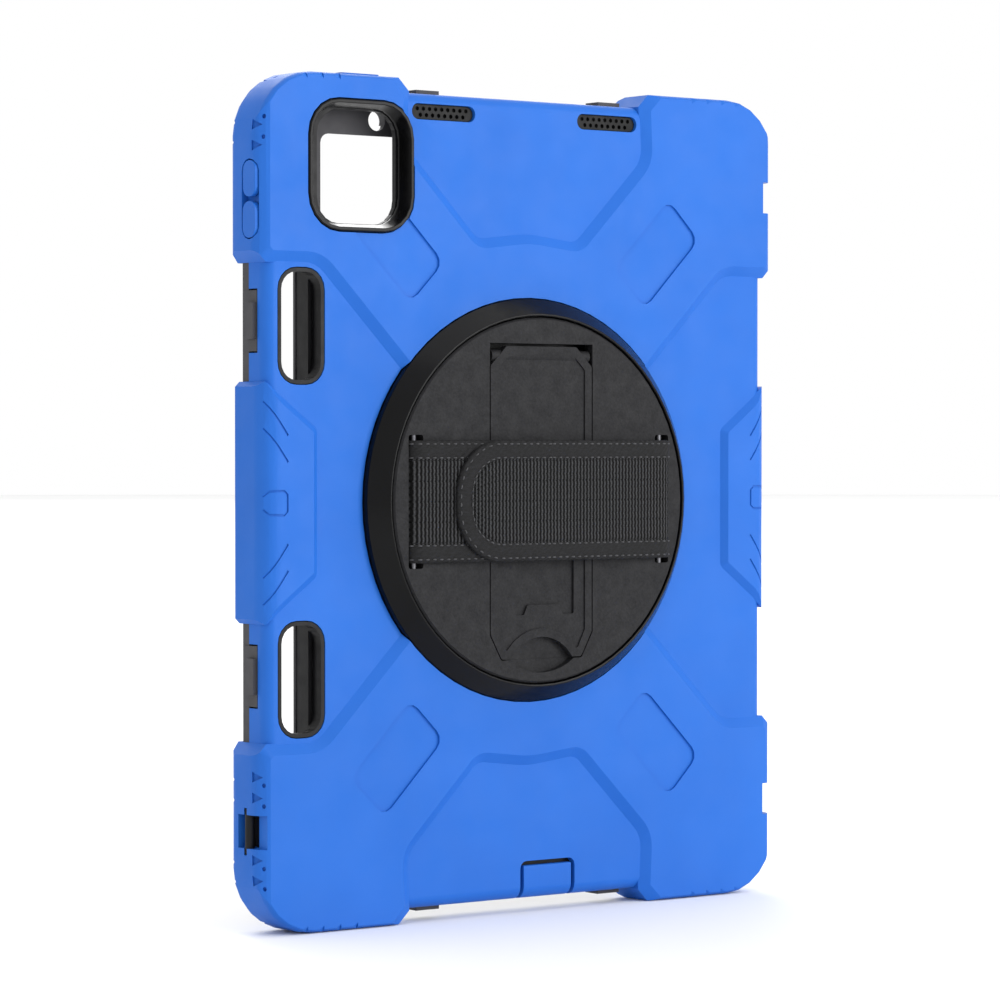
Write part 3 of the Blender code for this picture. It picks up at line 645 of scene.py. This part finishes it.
def make_binding(name, ribbon, line, lift):
    """Soft flat tape along a line: crowned on top, with rounded edges."""
    section = [(-0.5, -0.45), (-0.5, 0.25), (-0.46, 0.62), (-0.36, 0.82), (-0.12, 0.92), (0.12, 0.92)]
    section += [(-a, h) for a, h in reversed(section[:4])]
    rows = []
    for point, square, _ in follow(line):
        row = []
        for a, h in section:
            spot = point + square * a * BORDER
            row.append(ribbon.at(spot.x, spot.y, h + lift))
        rows.append(row)
    return tube_sheet(name, rows, BINDING)


def make_stitches(name, ribbon, line, lift):
    """Two rows of small raised stitches along the binding."""
    bm = bmesh.new()
    travelled = 0.0
    following = follow(line)
    for (a, square, along), (b, _, _) in zip(following, following[1:]):
        step = (b - a).length
        while travelled < step:
            spot = a.lerp(b, travelled / step)
            for row in (-0.33, 0.33):
                add_stitch(bm, ribbon, spot + square * row * BORDER, along, square, lift)
            travelled += STITCH_PITCH
        travelled -= step
    bmesh.ops.recalc_face_normals(bm, faces=bm.faces)
    obj = new_object(name, bm, THREAD)
    obj.data.shade_smooth()
    return obj


def add_stitch(bm, ribbon, spot, along, square, lift):
    """One stitch: a short bead that dips into the tape at both ends."""
    rings = []
    for t, radius, height in STITCH:
        ring = []
        for k in range(6):
            angle = 2 * math.pi * k / 6
            p = spot + along * t + square * radius * math.cos(angle)
            ring.append(bm.verts.new(ribbon.at(p.x, p.y, height + lift + radius * math.sin(angle))))
        rings.append(ring)
    for low, high in zip(rings, rings[1:]):
        for i in range(6):
            j = (i + 1) % 6
            bm.faces.new((low[i], low[j], high[j], high[i]))
    bm.faces.new(rings[0])
    bm.faces.new(rings[-1])


def dress_strap(obj, stands_for):
    """Bakes a half strap's placement into its mesh and hides the node it stands for; the half runs from its
    slot's side of the turntable to the leg under its middle.
    """
    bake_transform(obj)
    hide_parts(stands_for)


def make_strap():
    base = Ribbon(BASE_PATH)
    tab = Ribbon(TAB_PATH)
    for layer, ribbon, node in (("base", base, "hand_strap_base"), ("tab", tab, "hand_strap_tab")):
        middle = ribbon.length_at(0.0)
        for side, u0, u1 in ((-1, 0.0, middle), (1, middle, ribbon.length)):
            hand = "right" if side > 0 else "left"
            rounded = layer == "tab" and side > 0
            end = u1 - (BORDER * 0.7 if rounded else 0.0)
            pieces = [make_webbing(f"strap_{layer}_webbing_{hand}", ribbon, u0, end, rounded)]
            sides = (1,) if rounded else (1, -1)
            for edge in sides:
                line = border_line(ribbon, u0, u1, edge, rounded)
                label = hand if rounded else f"{hand}_{'upper' if edge > 0 else 'lower'}"
                pieces.append(make_binding(f"strap_{layer}_binding_{label}", ribbon, line, -0.2))
                pieces.append(make_stitches(f"strap_{layer}_stitches_{label}", ribbon, line, -0.2))
            for piece in pieces:
                dress_strap(piece, node)


# ---------------------------------------------------------------- studio
def area_light(name, position, aim, size, power, colour=(1, 1, 1)):
    data = bpy.data.lights.new(name, "AREA")
    data.shape = "RECTANGLE"
    data.size, data.size_y = size
    data.energy = power
    data.color = colour
    lamp = bpy.data.objects.new(name, data)
    bpy.context.scene.collection.objects.link(lamp)
    lamp.location = position
    lamp.rotation_euler = (Vector(aim) - Vector(position)).to_track_quat("-Z", "Y").to_euler()


def make_studio():
    bm = bmesh.new()
    bmesh.ops.create_circle(bm, cap_ends=True, segments=96, radius=9.0)
    floor_look = Nodes("pale_floor", (0.92, 0.92, 0.92), 0.8)
    floor_look.vary_colour(floor_look.noise(3.0), (0.91, 0.91, 0.91), (0.93, 0.93, 0.93))
    floor = new_object("floor", bm, floor_look.made)
    floor.location.z = COVER_LOW.z - 0.0002

    world = bpy.data.worlds.new("studio")
    world.use_nodes = True
    world.node_tree.nodes["Background"].inputs["Color"].default_value = (1, 1, 1, 1)
    world.node_tree.nodes["Background"].inputs["Strength"].default_value = 1.0
    bpy.context.scene.world = world
    bpy.context.scene.view_settings.view_transform = "Standard"

    aim = MIDDLE
    area_light("back_key", (-0.85, 1.75, 0.7), aim, (1.3, 1.3), 27.0)
    area_light("front_key", (-2.4, -5.2, 4.2), aim, (4.0, 4.0), 190.0)
    area_light("top", (0.1, 0.1, 1.7), aim, (1.2, 1.2), 3.0)


def make_camera():
    data = bpy.data.cameras.new("camera")
    data.sensor_width = 36.0
    data.lens = 139.0
    camera = bpy.data.objects.new("camera", data)
    bpy.context.scene.collection.objects.link(camera)
    distance = 1.2503
    yaw = math.radians(37.75)
    camera.location = MIDDLE + Vector((distance * math.sin(yaw), distance * math.cos(yaw), 0.0205))
    aim = MIDDLE + Vector((0.0068, 0.0015, 0.0))
    camera.rotation_euler = (aim - camera.location).to_track_quat("-Z", "Y").to_euler()
    bpy.context.scene.camera = camera


make_camera()
dress_cad_nodes()
make_cover()
make_parts()
make_strap()
make_studio()
